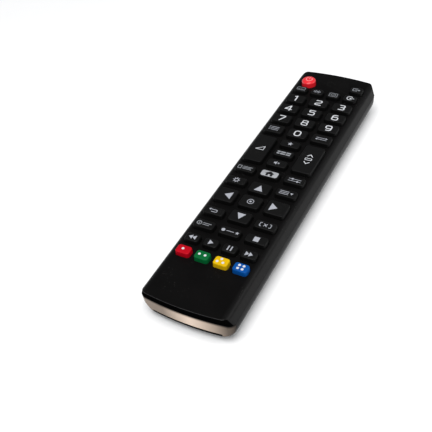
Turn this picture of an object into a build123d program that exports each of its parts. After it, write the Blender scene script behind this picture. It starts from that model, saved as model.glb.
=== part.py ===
"""Universal remote control: snap-fit case, rubber keys and a sliding battery door.

x runs across the remote, y towards its infrared end, z up through the keys.
The origin is on the underside, in the middle. All lengths are in millimetres.
"""
import os
from math import radians, sin, sqrt, tan

from build123d import *

os.makedirs("parts", exist_ok=True)

# Key tops
key_width = 10.3
digit_key_length = 6.6
text_key_length = 5.0
up_key_length = 7.3
arrow_key_length = 9.2
ok_key_length = 8.0
rocker_length = 21.6
small_key_width = 7.4
small_key_length = 5.1
power_key_diameter = 7.8
key_corner_cut = 0.8
key_height = 2.2
power_key_height = 3.0
key_draft = 4.0

# Keypad layout: columns, then the steps from row to row down the remote
column_pitch = 13.5
small_row_inset = 0.45
source_key_column = 15.3
far_margin = 13.6
power_to_small = 8.85
small_to_digit = 10.0
digit_pitch = 9.97
digit_to_middle = 9.65
middle_pitch = 8.4
middle_to_home = 9.15
home_to_up = 11.4
up_to_ok = 10.6
ok_to_down = 11.3
down_to_info = 10.7
info_to_transport = 9.7
transport_to_colour = 8.4
near_margin = 29.3
menu_rise = 1.3
arrow_rise = 0.3
back_drop = 0.9

# Case
side_margin = 2.35
side_spread = 2.3
end_bow_radius = 140.0
end_draw_in = 1.2
case_end_lean = 5.0
cover_depth = 5.2
cover_wall = 1.7
cover_edge_radius = 3.2
case_wall = 1.6
end_wall = 3.0
hull_radius = 11.0
corner_radius = 3.2
seam_height = 0.35
seam_depth = 0.5

# Join between cover and case
rim_height = 1.5
tongue_height = 1.2
tongue_width = 1.0
tongue_clearance = 0.15
tongue_corner_margin = 12.0
snap_depth = 0.45
snap_height = 0.5
snap_length = 8.0
snap_clearance = 0.1
snap_count = 4

# Keys under the cover
key_travel = 0.8
key_clearance = 0.2
flange_width = 0.55
flange_height = 0.8
flange_clearance = 0.25
pill_width = 3.0
pill_height = 0.8
contact_air = 0.05
rocker_tilt = 4.0
rocker_ear_length = 3.0
rocker_pill_offset = 7.5

# Keypad mat and circuit board
mat_height = 0.7
mat_margin = 0.3
pill_clearance = 0.45
board_height = 1.0
board_edge_margin = 0.85
board_far_margin = 4.4
board_near_margin = 7.5
notch_length = 2.4
notch_depth = 0.9
notch_clearance = 0.15
board_step = 1.5
press_rib_width = 1.0
press_rib_side_margin = 2.5

# Cells and their bay
cell_diameter = 10.5
cell_length = 44.5
nub_diameter = 3.8
nub_height = 1.0
cell_spacing = 0.6
bay_clearance = 0.3
bay_wall = 1.2
bay_roof = 0.9
bay_to_near_end = 10.45
bay_foot = 1.2

# Contacts
contact_sheet = 0.3
contact_height = 7.6
contact_margin = 1.4
dimple_height = 0.6
dimple_width = 3.0
leaf_reach = 4.5
leaf_width = 5.0
leaf_rise = 3.2
leaf_flat = 1.6
tab_width = 2.5
tab_clearance = 0.2

# Battery door
door_half_width = 16.0
door_gap = 0.3
door_lip_height = 5.0
door_lip_depth = 5.55
door_past_bay = 1.5
rail_width = 1.0
rail_height = 0.65
rail_base_width = 1.2
rail_lip = 1.5
rail_clearance = 0.2
step_sheet = 1.0
rail_block_width = 1.2
grip_count = 5
grip_width = 12.0
grip_groove = 0.8
grip_depth = 0.4
grip_pitch = 2.0
grip_margin = 6.0

# Inside the far half
led_diameter = 5.0
led_length = 8.0
led_recess = 0.3
led_hole_clearance = 0.2
led_drop = 4.3
led_collar_width = 0.4
led_collar_length = 1.0
lead_width = 0.5
lead_spacing = 2.54
lead_length = 1.5
chip_width = 7.5
chip_length = 12.0
chip_height = 2.0
chip_leg_width = 1.2
chip_leg_height = 0.4
resonator_width = 7.0
resonator_length = 3.0
resonator_height = 5.0
capacitor_diameter = 5.0
capacitor_height = 7.0
board_rib_width = 1.2

# One overrun serves every cut that runs past a face
overrun = 1.0

# Height stack, from the underside up
cell_z = case_wall + bay_clearance + cell_diameter / 2
bay_top = cell_z + cell_diameter / 2 + bay_clearance
board_low = bay_top + bay_roof
board_top = board_low + board_height
mat_top = board_top + mat_height
pill_low = board_top + contact_air + key_travel
flange_low = pill_low + pill_height
flange_top = flange_low + flange_height
cover_inside = flange_top + flange_clearance
cover_top = cover_inside + cover_wall
key_top = cover_top + key_height
power_key_top = cover_top + power_key_height
parting = cover_top - cover_depth

# Rows, from the infrared end to the battery end
row_steps = [
    ("power", far_margin),
    ("small", power_to_small),
    ("digits_1", small_to_digit),
    ("digits_2", digit_pitch),
    ("digits_3", digit_pitch),
    ("digits_4", digit_pitch),
    ("middle_1", digit_to_middle),
    ("middle_2", middle_pitch),
    ("middle_3", middle_pitch),
    ("home", middle_to_home),
    ("up", home_to_up),
    ("ok", up_to_ok),
    ("down", ok_to_down),
    ("info", down_to_info),
    ("transport", info_to_transport),
    ("colour", transport_to_colour),
]
top_length = sum(step for _, step in row_steps) + near_margin
rows = {}
place = top_length / 2
for row_name, step in row_steps:
    place -= step
    rows[row_name] = place
rows["menu"] = rows["up"] + menu_rise
rows["arrows"] = rows["ok"] + arrow_rise
rows["back"] = rows["down"] - back_drop

columns = {"left": -column_pitch, "centre": 0, "right": column_pitch, "source": source_key_column}
small_column_span = 2 * column_pitch + key_width - small_key_width - 2 * small_row_inset
small_column_pitch = small_column_span / 3
for number, column_name in enumerate(("first", "second", "third", "fourth")):
    columns[column_name] = (number - 1.5) * small_column_pitch

# Key forms: width and length of the top
forms = {
    "digit": (key_width, digit_key_length),
    "text": (key_width, text_key_length),
    "vertical": (key_width, up_key_length),
    "arrow": (key_width, arrow_key_length),
    "ok": (key_width, ok_key_length),
    "small": (small_key_width, small_key_length),
    "rocker": (key_width, rocker_length),
    "round": (power_key_diameter, power_key_diameter),
}
keys = [
    ("power_key", "round", "left", "power"),
    ("source_key", "small", "source", "power"),
    ("subtitle_key", "small", "first", "small"),
    ("audio_key", "small", "second", "small"),
    ("ratio_key", "small", "third", "small"),
    ("input_key", "small", "fourth", "small"),
    ("digit_1_key", "digit", "left", "digits_1"),
    ("digit_2_key", "digit", "centre", "digits_1"),
    ("digit_3_key", "digit", "right", "digits_1"),
    ("digit_4_key", "digit", "left", "digits_2"),
    ("digit_5_key", "digit", "centre", "digits_2"),
    ("digit_6_key", "digit", "right", "digits_2"),
    ("digit_7_key", "digit", "left", "digits_3"),
    ("digit_8_key", "digit", "centre", "digits_3"),
    ("digit_9_key", "digit", "right", "digits_3"),
    ("list_key", "digit", "left", "digits_4"),
    ("digit_0_key", "digit", "centre", "digits_4"),
    ("quick_view_key", "digit", "right", "digits_4"),
    ("volume_rocker", "rocker", "left", "middle_2"),
    ("favourite_key", "text", "centre", "middle_1"),
    ("guide_key", "text", "centre", "middle_2"),
    ("mute_key", "text", "centre", "middle_3"),
    ("channel_rocker", "rocker", "right", "middle_2"),
    ("text_key", "text", "left", "home"),
    ("home_key", "text", "centre", "home"),
    ("text_option_key", "text", "right", "home"),
    ("settings_key", "text", "left", "menu"),
    ("up_key", "vertical", "centre", "up"),
    ("quick_menu_key", "text", "right", "menu"),
    ("left_key", "arrow", "left", "arrows"),
    ("ok_key", "ok", "centre", "ok"),
    ("right_key", "arrow", "right", "arrows"),
    ("back_key", "text", "left", "back"),
    ("down_key", "vertical", "centre", "down"),
    ("exit_key", "text", "right", "back"),
    ("info_key", "text", "left", "info"),
    ("record_key", "text", "centre", "info"),
    ("stop_key", "text", "right", "info"),
    ("rewind_key", "small", "first", "transport"),
    ("play_key", "small", "second", "transport"),
    ("pause_key", "small", "third", "transport"),
    ("forward_key", "small", "fourth", "transport"),
    ("red_key", "small", "first", "colour"),
    ("green_key", "small", "second", "colour"),
    ("yellow_key", "small", "third", "colour"),
    ("blue_key", "small", "fourth", "colour"),
]

# Plan sizes that follow from the layout
top_half_width = column_pitch + key_width / 2 + side_margin
parting_half_width = top_half_width + side_spread
top_half_length = top_length / 2
parting_half_length = top_half_length - end_draw_in
bow_centre = top_half_length - end_bow_radius
board_half_width = column_pitch + key_width / 2 + board_edge_margin
board_far = rows["power"] + board_far_margin
board_near = rows["colour"] - board_near_margin
tongue_outside = side_spread + tongue_clearance
tongue_inside = tongue_outside + tongue_width

# Battery bay, along the remote
bay_near = -top_half_length + bay_to_near_end
bay_length = 2 * contact_sheet + leaf_reach + cell_length + dimple_height
bay_far = bay_near + bay_length
cell_x = (cell_diameter + cell_spacing) / 2
bay_half_width = cell_x + cell_diameter / 2 + bay_clearance
door_far = bay_far + door_past_bay
door_lip_edge = -top_half_length + door_lip_depth
rail_half_width = door_half_width + rail_width
recess_top = rail_lip + rail_clearance + rail_height + rail_clearance


def block(x_low, x_high, y_low, y_high, z_low, z_high):
    """A box given by its faces."""
    size = (x_high - x_low, y_high - y_low, z_high - z_low)
    middle = ((x_low + x_high) / 2, (y_low + y_high) / 2, (z_low + z_high) / 2)
    return Pos(*middle) * Box(*size)


def wide_block(half_width, y_low, y_high, z_low, z_high):
    """A box that is centred across the remote."""
    return block(-half_width, half_width, y_low, y_high, z_low, z_high)


def bowed_ends(low, high, low_half_length, high_half_length):
    """A wide slab whose two ends are bowed and lean, cut from upright cones."""
    low_radius = low_half_length - bow_centre
    high_radius = high_half_length - bow_centre
    upright = (Align.CENTER, Align.CENTER, Align.MIN)
    if low_radius == high_radius:
        disc = Cylinder(low_radius, high - low, align=upright)
    else:
        disc = Cone(low_radius, high_radius, high - low, align=upright)
    far_half = Pos(0, bow_centre, low) * disc & wide_block(top_half_length, 0, top_length, low, high)
    return far_half + Rot(0, 0, 180) * far_half


def side_prism(section):
    """A cross-section, drawn with x across and y up, run along the whole remote."""
    return extrude(Plane.XZ * section, top_length, both=True)


def cover_half_width(height):
    """Half-width of the cover's outside at a height."""
    return top_half_width + side_spread * (cover_top - height) / cover_depth


def cover_half_length(height):
    """Half-length of the cover's outside at a height."""
    return top_half_length - end_draw_in * (cover_top - height) / cover_depth


def cover_section(high, side_inset):
    """The cover's cross-section up to a height, drawn in at its sides."""
    low_width = cover_half_width(parting) - side_inset
    high_width = cover_half_width(high) - side_inset
    return Polygon(
        (-low_width, parting),
        (low_width, parting),
        (high_width, high),
        (-high_width, high),
        align=None,
    )


def cover_block(high, side_inset, end_inset):
    """The cover's sloping form up to a height, drawn in at its sides and ends."""
    low_length = cover_half_length(parting) - end_inset
    high_length = cover_half_length(high) - end_inset
    ends = bowed_ends(parting, high, low_length, high_length)
    return side_prism(cover_section(high, side_inset)) & ends


def cover_form():
    """The cover's outer form: rounded corners, and round shoulders along both sides."""
    form = cover_block(cover_top, 0, 0)
    corners = [edge for edge in form.edges() if edge.bounding_box().size.Z > cover_depth / 2]
    form = fillet(corners, corner_radius)
    section = cover_section(cover_top, 0)
    shoulders = fillet(section.vertices().group_by(Axis.Y)[-1], cover_edge_radius)
    return form & side_prism(shoulders)


def hull_block(inset, end_inset):
    """The case's form up to the parting, drawn in at its sides, floor and ends."""
    half_width = parting_half_width - inset
    section = Pos(0, (inset + parting) / 2) * Rectangle(2 * half_width, parting - inset)
    section = fillet(section.vertices().group_by(Axis.Y)[0], hull_radius - inset)
    lean = tan(radians(case_end_lean)) * (parting - inset)
    high_length = parting_half_length - end_inset
    return side_prism(section) & bowed_ends(inset, parting, high_length - lean, high_length)


def hull_form():
    """The case's outer form, with the edges round both ends rounded."""
    form = hull_block(0, 0)
    ends = []
    for edge in form.edges():
        beside_the_end = abs(edge.center().Y) > top_half_length / 2
        if beside_the_end and edge.center().Z < parting - seam_height:
            ends.append(edge)
    return fillet(ends, corner_radius)


def rim_form(inset, low, high):
    """An upright prism of the parting's outline, drawn in by an inset."""
    half_width = parting_half_width - inset
    half_length = parting_half_length - inset
    section = Pos(0, (low + high) / 2) * Rectangle(2 * half_width, high - low)
    form = side_prism(section) & bowed_ends(low, high, half_length, half_length)
    return fillet(form.edges().filter_by(Axis.Z), corner_radius - inset)


def key_growth(top, height):
    """How far a drafted key side stands out at a height below its top."""
    return (top - height) * tan(radians(key_draft))


def key_place(column, row):
    """Where a key stands on the keypad."""
    return Pos(columns[column], rows[row])


def key_outline(form, top, height, clearance):
    """A key's outline at a height, with a clearance round it."""
    width, length = forms[form]
    growth = key_growth(top, height) + clearance
    if form == "round":
        return Circle(width / 2 + growth)
    outline = Rectangle(width + 2 * growth, length + 2 * growth)
    return chamfer(outline.vertices(), key_corner_cut + growth * (2 - sqrt(2)))


def key_body(form, top, low):
    """The drafted body of a key, from a height up to its top."""
    if form == "round":
        radius = power_key_diameter / 2
        body = Cone(
            radius + key_growth(top, low),
            radius,
            top - low,
            align=(Align.CENTER, Align.CENTER, Align.MIN),
        )
        return Pos(0, 0, low) * body
    outline = Pos(0, 0, low) * key_outline(form, top, low, 0)
    return extrude(outline, top - low, taper=key_draft)


def contact_pill(y, low):
    """The conductive pill under a key."""
    half = pill_width / 2
    return block(-half, half, y - half, y + half, low, flange_low)


def push_key(form, top):
    """A key that is pressed straight down, with its flange and its pill."""
    width, length = forms[form]
    side = key_growth(top, flange_top) + flange_width
    flange = block(
        -width / 2 - side,
        width / 2 + side,
        -length / 2 - side,
        length / 2 + side,
        flange_low,
        flange_top,
    )
    return key_body(form, top, flange_top) + flange + contact_pill(0, pill_low)


def rocker_key():
    """A two-way key that rocks on the ears at its middle, over two pills."""
    ear_side = key_width / 2 + key_growth(key_top, flange_top) + flange_width
    ears = wide_block(
        ear_side, -rocker_ear_length / 2, rocker_ear_length / 2, flange_low, flange_top
    )
    drop = (rocker_pill_offset + pill_width / 2) * sin(radians(rocker_tilt))
    low = board_top + contact_air + drop
    rocker = key_body("rocker", key_top, flange_low) + ears
    for side in (-1, 1):
        rocker += contact_pill(side * rocker_pill_offset, low)
    return rocker


def aperture_cutters():
    """Every opening in the cover's face, each its key's outline with a clearance."""
    outlines = []
    for name, form, column, row in keys:
        top = power_key_top if form == "round" else key_top
        outline = key_outline(form, top, cover_inside, key_clearance)
        outlines.append(key_place(column, row) * outline)
    low = cover_inside - overrun
    return [extrude(Pos(0, 0, low) * face, cover_wall + 2 * overrun) for face in outlines]


def row_gap(upper_row, upper_form, lower_row, lower_form):
    """The middle of the free strip between two rows of keys."""
    upper_edge = rows[upper_row] - forms[upper_form][1] / 2
    lower_edge = rows[lower_row] + forms[lower_form][1] / 2
    return (upper_edge + lower_edge) / 2


def press_ribs():
    """Cross ribs under the cover that hold the mat down on the board."""
    middles = [
        row_gap("small", "small", "digits_1", "digit"),
        row_gap("digits_4", "digit", "middle_1", "text"),
        row_gap("down", "vertical", "info", "text"),
        (rows["colour"] - small_key_length / 2 + board_near) / 2,
    ]
    ribs = []
    for middle in middles:
        low = middle - press_rib_width / 2
        high = middle + press_rib_width / 2
        half_width = board_half_width - press_rib_side_margin
        ribs.append(wide_block(half_width, low, high, mat_top, cover_inside))
    return ribs


def snap_places():
    """The middles of the snaps along one side."""
    pitch = top_length / (snap_count + 1)
    return [(number - (snap_count - 1) / 2) * pitch for number in range(snap_count)]


def snap_blocks(clearance):
    """The snap ridges on the outside of the tongue, with a clearance round them."""
    face = parting_half_width - tongue_outside
    high = parting + tongue_height - snap_height / 2 + clearance
    low = high - snap_height - 2 * clearance
    reach = face + snap_depth + clearance
    blocks = []
    for middle in snap_places():
        y_low = middle - snap_length / 2 - clearance
        y_high = middle + snap_length / 2 + clearance
        blocks.append(block(face - tongue_width / 2, reach, y_low, y_high, low, high))
        blocks.append(block(-reach, -face + tongue_width / 2, y_low, y_high, low, high))
    return blocks


def upper_cover():
    """The upper housing, open below, with an opening for every key."""
    cover = cover_form() - cover_block(cover_inside, cover_wall, end_wall)
    cover = cover - aperture_cutters()
    cover = cover - snap_blocks(snap_clearance)
    return cover + press_ribs()


def board_notches(clearance):
    """The places where the case's locators stand beside the board and the mat."""
    inner = board_half_width - notch_depth - clearance
    outer = parting_half_width - tongue_inside
    half = notch_length / 2 + clearance
    blocks = []
    for middle in (rows["digits_1"] - digit_pitch / 2, rows["info"] - info_to_transport / 2):
        blocks.append((inner, outer, middle - half, middle + half))
        blocks.append((-outer, -inner, middle - half, middle + half))
    return blocks


def keypad_mat():
    """The silicone sheet on the board, with an opening for every pill."""
    half_width = board_half_width - mat_margin
    mat = wide_block(half_width, board_near + mat_margin, board_far - mat_margin, board_top, mat_top)
    side = pill_width + 2 * pill_clearance
    cutters = []
    for name, form, column, row in keys:
        offsets = (-rocker_pill_offset, rocker_pill_offset) if form == "rocker" else (0,)
        for offset in offsets:
            cutter = Pos(0, offset, (board_top + mat_top) / 2) * Box(side, side, mat_height + overrun)
            cutters.append(key_place(column, row) * cutter)
    for x_low, x_high, y_low, y_high in board_notches(notch_clearance):
        cutters.append(block(x_low, x_high, y_low, y_high, board_low, cover_inside))
    return mat - cutters


def circuit_board():
    """The board that carries the contacts for the keys."""
    board = wide_block(board_half_width, board_near, board_far, board_low, board_top)
    cutters = []
    for x_low, x_high, y_low, y_high in board_notches(notch_clearance):
        cutters.append(block(x_low, x_high, y_low, y_high, bay_top, cover_inside))
    return board - cutters


def bay_solid(hull):
    """The solid mass that the battery bay and the door's recess are cut from."""
    near = bay_near - bay_wall - door_gap
    far = door_far + door_gap + bay_foot
    outer = rail_half_width + rail_clearance + rail_block_width
    tub = wide_block(bay_half_width + bay_wall, near, far, case_wall, board_low)
    step = wide_block(outer, near, far, 0, recess_top + step_sheet)
    shelf_top = door_lip_height + door_gap + step_sheet
    shelf = wide_block(outer, -top_length, bay_near, 0, shelf_top)
    return tub + ((step + shelf) & hull)


def door_recess():
    """The space that the door and its rails need, open at the near end."""
    far = door_far + door_gap
    half_width = door_half_width + door_gap
    plate = wide_block(half_width, -top_length, far, -overrun, recess_top)
    groove_half_width = rail_half_width + rail_clearance
    groove = wide_block(groove_half_width, -top_length, far, rail_lip, recess_top)
    lip_top = door_lip_height + door_gap
    lip_edge = bay_near - bay_wall - door_gap
    lip = wide_block(groove_half_width + door_gap, -top_length, lip_edge, -overrun, lip_top)
    return [plate, groove, lip]


def tab_slots():
    """Slots in the bay's roof for the tabs of the far contacts."""
    slots = []
    half = tab_width / 2 + tab_clearance
    low = bay_far - contact_sheet - tab_clearance
    for side in (-1, 1):
        x = side * cell_x
        slots.append(block(x - half, x + half, low, bay_far, bay_top - overrun, board_low + overrun))
    return slots


def case_ribs(cavity):
    """Ribs and locators that carry the board over the floor of the case."""
    ribs = []
    inner = board_half_width - notch_depth - board_step
    for x_low, x_high, y_low, y_high in board_notches(0):
        if x_low > 0:
            ribs.append(block(inner, x_high, y_low, y_high, case_wall, board_low) & cavity)
        else:
            ribs.append(block(x_low, -inner, y_low, y_high, case_wall, board_low) & cavity)
        ribs.append(block(x_low, x_high, y_low, y_high, board_low - overrun, mat_top))
    for row in ("middle_3", "digits_1"):
        low = rows[row] - board_rib_width / 2
        high = rows[row] + board_rib_width / 2
        half_width = board_half_width - notch_depth
        ribs.append(wide_block(half_width, low, high, case_wall, board_low) & cavity)
    return ribs


def led_axis():
    """Height of the light's axis."""
    return parting - led_drop


def led_face():
    """How far along the remote the light's tip reaches."""
    lean = tan(radians(case_end_lean)) * (parting - led_axis())
    return parting_half_length - lean - led_recess


def led_hole():
    """The round opening in the far end wall."""
    hole = Cylinder(led_diameter / 2 + led_hole_clearance, 2 * led_length)
    return Pos(0, led_face(), led_axis()) * Rot(90, 0, 0) * hole


def tongues():
    """The strips inside the rim that stand up into the cover, on a ledge of the wall."""
    ledge_low = parting - rim_height
    high = parting + tongue_height
    inner = parting_half_width - tongue_inside
    outer = parting_half_width - tongue_outside
    wall = parting_half_width - case_wall / 2
    half = parting_half_length - tongue_corner_margin
    strips = []
    for side in (-1, 1):
        x_low, x_high = sorted((side * inner, side * outer))
        strips.append(block(x_low, x_high, -half, half, ledge_low, high))
        x_low, x_high = sorted((side * inner, side * wall))
        strips.append(block(x_low, x_high, -half, half, ledge_low, parting))
    half = parting_half_width - tongue_corner_margin
    bow = end_bow_radius - sqrt(end_bow_radius**2 - half**2)
    outer = parting_half_length - end_wall - bow - tongue_clearance
    inner = outer - tongue_width
    for side in (-1, 1):
        y_low, y_high = sorted((side * inner, side * outer))
        strips.append(wide_block(half, y_low, y_high, ledge_low, high))
        y_low, y_high = sorted((side * inner, side * (outer + end_wall)))
        strips.append(wide_block(half, y_low, y_high, ledge_low, parting))
    return strips


def lower_case():
    """The lower housing: a rounded hull with the battery bay and the join to the cover."""
    hull = hull_form()
    cavity = hull_block(case_wall, end_wall)
    case = hull - cavity
    case += tongues()
    case += snap_blocks(0)
    case += bay_solid(hull)
    case -= door_recess()
    case -= wide_block(bay_half_width, bay_near, bay_far, 0, bay_top)
    case += case_ribs(cavity)
    case -= tab_slots()
    case -= led_hole()
    seam = rim_form(-overrun, parting - seam_height, parting) - rim_form(
        seam_depth, parting - seam_height, parting
    )
    return case - seam


def battery_door():
    """The door: part of the hull's skin, with rails that run in the case's grooves."""
    hull = hull_form()
    rail_low = rail_lip + rail_clearance
    rail_top = rail_low + rail_height
    door = hull & wide_block(door_half_width, -top_length, door_far, 0, case_wall)
    lip_half_width = rail_half_width + rail_clearance
    door += hull & wide_block(lip_half_width, -top_length, door_lip_edge, 0, door_lip_height)
    near = door_lip_edge - rail_width
    for side in (-1, 1):
        x_low, x_high = sorted((side * (door_half_width - rail_base_width), side * door_half_width))
        door += hull & block(x_low, x_high, near, door_far, 0, rail_top)
        x_low, x_high = sorted((side * (door_half_width - rail_base_width), side * rail_half_width))
        door += block(x_low, x_high, near, door_far, rail_low, rail_top)
    for number in range(grip_count):
        middle = door_far - grip_margin - number * grip_pitch
        low = middle - grip_groove / 2
        high = middle + grip_groove / 2
        door -= wide_block(grip_width / 2, low, high, -overrun, grip_depth)
    return door


def cell(positive_side):
    """One cell along y, its nub towards positive_side, with its flat end at y = 0."""
    body = Cylinder(
        cell_diameter / 2, cell_length - nub_height, align=(Align.CENTER, Align.CENTER, Align.MIN)
    )
    nub = Cylinder(nub_diameter / 2, cell_length, align=(Align.CENTER, Align.CENTER, Align.MIN))
    return Rot(-90 * positive_side, 0, 0) * (body + nub)


def leaf_spring(face, side):
    """A folded strip that presses on a cell's flat end."""
    root = -side * contact_sheet / 2
    tip = side * (leaf_reach - contact_sheet / 2)
    line = Polyline(
        (face + root, cell_z - leaf_rise),
        (face + tip, cell_z - leaf_flat / 2),
        (face + tip, cell_z + leaf_flat / 2),
        (face + side * leaf_reach / 3, cell_z + leaf_rise),
    )
    strip = trace(line, contact_sheet)
    return extrude(Plane.YZ * strip, leaf_width / 2, both=True)


def contact_plate(x_low, x_high, face, side):
    """A flat contact standing against an end wall of the bay."""
    y_low, y_high = sorted((face - side * contact_sheet, face))
    half = contact_height / 2
    return block(x_low, x_high, y_low, y_high, cell_z - half, cell_z + half)


def dimple(x, face, side):
    """The raised spot that touches a cell's nub."""
    spot = Box(dimple_width, dimple_height, dimple_width)
    return Pos(x, face + side * dimple_height / 2, cell_z) * spot


def contact_tab(x):
    """The tab that joins a far contact to the board."""
    half = tab_width / 2
    low = cell_z + contact_height / 2 - contact_margin
    return block(x - half, x + half, bay_far - contact_sheet, bay_far, low, board_low)


def contacts():
    """The bridge at the near end and the two contacts at the far end."""
    half = cell_x - contact_margin / 2
    near_face = bay_near + contact_sheet
    far_face = bay_far - contact_sheet
    bridge = contact_plate(-cell_x - half, cell_x + half, near_face, 1)
    bridge += Pos(-cell_x, 0, 0) * leaf_spring(near_face, 1)
    bridge += dimple(cell_x, near_face, 1)
    negative = contact_plate(cell_x - half, cell_x + half, far_face, -1)
    negative += Pos(cell_x, 0, 0) * leaf_spring(far_face, -1)
    negative += contact_tab(cell_x)
    positive = contact_plate(-cell_x - half, -cell_x + half, far_face, -1)
    positive += dimple(-cell_x, far_face, -1) + contact_tab(-cell_x)
    return {"bridge_contact": bridge, "negative_contact": negative, "positive_contact": positive}


def ir_led():
    """The light at the far end, with its leads up to the board."""
    radius = led_diameter / 2
    upright = (Align.CENTER, Align.CENTER, Align.MIN)
    body = Cylinder(radius, led_length, align=upright)
    body += Cylinder(radius + led_collar_width, led_collar_length, align=upright)
    back = led_face() - led_length
    led = Pos(0, back, led_axis()) * Rot(-90, 0, 0) * body
    half = lead_width / 2
    for side in (-1, 1):
        x = side * lead_spacing / 2
        y = back - lead_length
        axis = led_axis()
        led += block(x - half, x + half, y, back, axis - half, axis + half)
        led += block(x - half, x + half, y, y + lead_width, axis - half, board_low)
    return led


def controller_chip():
    """The controller under the board, with its two rows of legs."""
    middle = (rows["digits_3"] + rows["digits_4"]) / 2
    low = middle - chip_length / 2
    high = middle + chip_length / 2
    chip = wide_block(chip_width / 2, low, high, board_low - chip_height, board_low)
    legs = wide_block(
        chip_width / 2 + chip_leg_width,
        low + chip_leg_width,
        high - chip_leg_width,
        board_low - chip_leg_height,
        board_low,
    )
    return chip + legs


def resonator():
    """The clock source beside the controller."""
    place = Pos(column_pitch, rows["digits_3"], board_low - resonator_height / 2)
    return place * Box(resonator_width, resonator_length, resonator_height)


def capacitor():
    """The reservoir capacitor that hangs under the board."""
    place = Pos(-column_pitch, rows["digits_4"], board_low - capacitor_height / 2)
    return place * Cylinder(capacitor_diameter / 2, capacitor_height)


def all_parts():
    """Every piece of the remote by name."""
    parts = {
        "upper_cover": upper_cover(),
        "lower_case": lower_case(),
        "battery_door": battery_door(),
        "circuit_board": circuit_board(),
        "keypad_mat": keypad_mat(),
        "ir_led": ir_led(),
        "controller_chip": controller_chip(),
        "resonator": resonator(),
        "capacitor": capacitor(),
    }
    left_flat_end = bay_near + contact_sheet + leaf_reach
    right_flat_end = bay_far - contact_sheet - leaf_reach
    parts["battery_left"] = Pos(-cell_x, left_flat_end, cell_z) * cell(1)
    parts["battery_right"] = Pos(cell_x, right_flat_end, cell_z) * cell(-1)
    parts.update(contacts())
    for name, form, column, row in keys:
        top = power_key_top if form == "round" else key_top
        shape = rocker_key() if form == "rocker" else push_key(form, top)
        parts[name] = key_place(column, row) * shape
    return parts


for part_name, shape in all_parts().items():
    export_step(shape, f"parts/{part_name}.step")
print(f"top length {top_length:.2f}, widest {2 * parting_half_width:.2f}, key tops {key_top:.2f}")
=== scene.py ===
"""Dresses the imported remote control: moulded case, rubber keys, printed marks and studio."""

import math

import bmesh
import bpy
from mathutils import Matrix, Vector
from mathutils.bvhtree import BVHTree
from mathutils.interpolate import poly_3d_calc


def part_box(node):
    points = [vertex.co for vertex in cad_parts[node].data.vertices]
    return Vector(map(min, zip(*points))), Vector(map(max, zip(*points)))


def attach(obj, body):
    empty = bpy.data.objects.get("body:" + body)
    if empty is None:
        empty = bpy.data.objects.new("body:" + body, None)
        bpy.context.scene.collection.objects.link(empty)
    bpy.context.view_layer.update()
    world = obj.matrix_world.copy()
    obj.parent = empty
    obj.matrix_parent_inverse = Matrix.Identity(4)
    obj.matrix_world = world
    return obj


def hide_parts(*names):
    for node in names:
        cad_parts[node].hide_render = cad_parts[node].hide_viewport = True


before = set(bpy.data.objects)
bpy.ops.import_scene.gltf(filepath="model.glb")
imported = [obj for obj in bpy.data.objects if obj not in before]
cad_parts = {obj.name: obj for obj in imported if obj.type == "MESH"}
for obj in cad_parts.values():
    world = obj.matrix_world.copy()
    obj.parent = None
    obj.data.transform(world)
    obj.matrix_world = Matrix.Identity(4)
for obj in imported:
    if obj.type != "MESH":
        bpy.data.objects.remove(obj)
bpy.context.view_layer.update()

MM = 0.001

# Heights of the keypad, from the board up, and sizes under the key tops, in millimetres
BOARD_TOP = 14.6
PILL_LOW = 15.45
FLANGE_LOW = 16.25
FLANGE_TOP = 17.05
CEILING = 17.3
COVER_TOP = 19.0
KEY_TOP = 21.2
POWER_TOP = 21.98
KEY_DRAFT = math.tan(math.radians(4.0))
FLANGE = 0.55
PILL_HALF = 1.5
PILL_CORNER = 0.35
FLANGE_CORNER = 1.2
OPENING_GAP = 0.2
OPENING_BEVEL = 0.16
ROCKER_PILL_LOW = 15.28
ROCKER_PILL_OFFSET = 7.5
ROCKER_EAR_HALF = 1.5
OVERLAP = 0.1
SPARE = 0.001

# Digits, ink and dots on the keys, and the carbon spots on the board, in millimetres
DIGIT_X = 1.58
DIGIT_Y = 2.0
DIGIT_LINE = 0.64
PRINT_RISE = 0.014
PRINT_LAYER = 0.0015
PRINT_SINK = 0.05
DOT_RADIUS = 0.66
DOT_THICKNESS = 0.05
CARBON_RADIUS = 1.8
CARBON_THICKNESS = 0.04

# The cover's outside, in millimetres
PARTING = 13.8
TOP_HALF_WIDTH = 21.0
SIDE_SPREAD = 2.3
TOP_HALF_LENGTH = 94.68
END_DRAW_IN = 1.2
BOW_RADIUS = 140.0
CORNER_RADIUS = 3.2
SHOULDER_RADIUS = 3.2
CRISP_EDGE = 0.22
WALL = 1.7
END_WALL = 3.0
END_ZONE = 6.0
CUT_MARGIN = 1.0
OUTLINE_STEPS = 14
SLOPE_ANGLE = math.atan2(SIDE_SPREAD, COVER_TOP - PARTING)
SHOULDER_START = COVER_TOP - SHOULDER_RADIUS + SHOULDER_RADIUS * math.sin(SLOPE_ANGLE)

# The case's outside and the gap above its door's lip, in millimetres
HULL_RADIUS = 11.0
CASE_LEAN = math.tan(math.radians(5.0))
FOOT_RADIUS = 3.6
SKIN_INSET = 0.02
SKIN_CONTACT = 0.03
SKIN_CORNER_GROWTH = 0.15
SKIN_CORNER_SPREAD = 0.4
SKIN_CORNER_HEIGHT = 8.0
SKIN_HEIGHTS = [0.02, 0.1, 0.25, 0.5, 0.85, 1.3, 1.9, 2.6, 3.4, 4.3, 5.1, 5.35, 6.2, 7.2, 8.4, 9.7,
                11.0, 12.4, PARTING, 15.6]
GAP_LOW = 4.6
GAP_SPLIT = 5.2
GAP_TOP = 6.35
GAP_FLOOR = -90.9
GAP_HALF_WIDTH = 17.45
TUCK = 0.5
TUCK_FROM = 5.1

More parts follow.
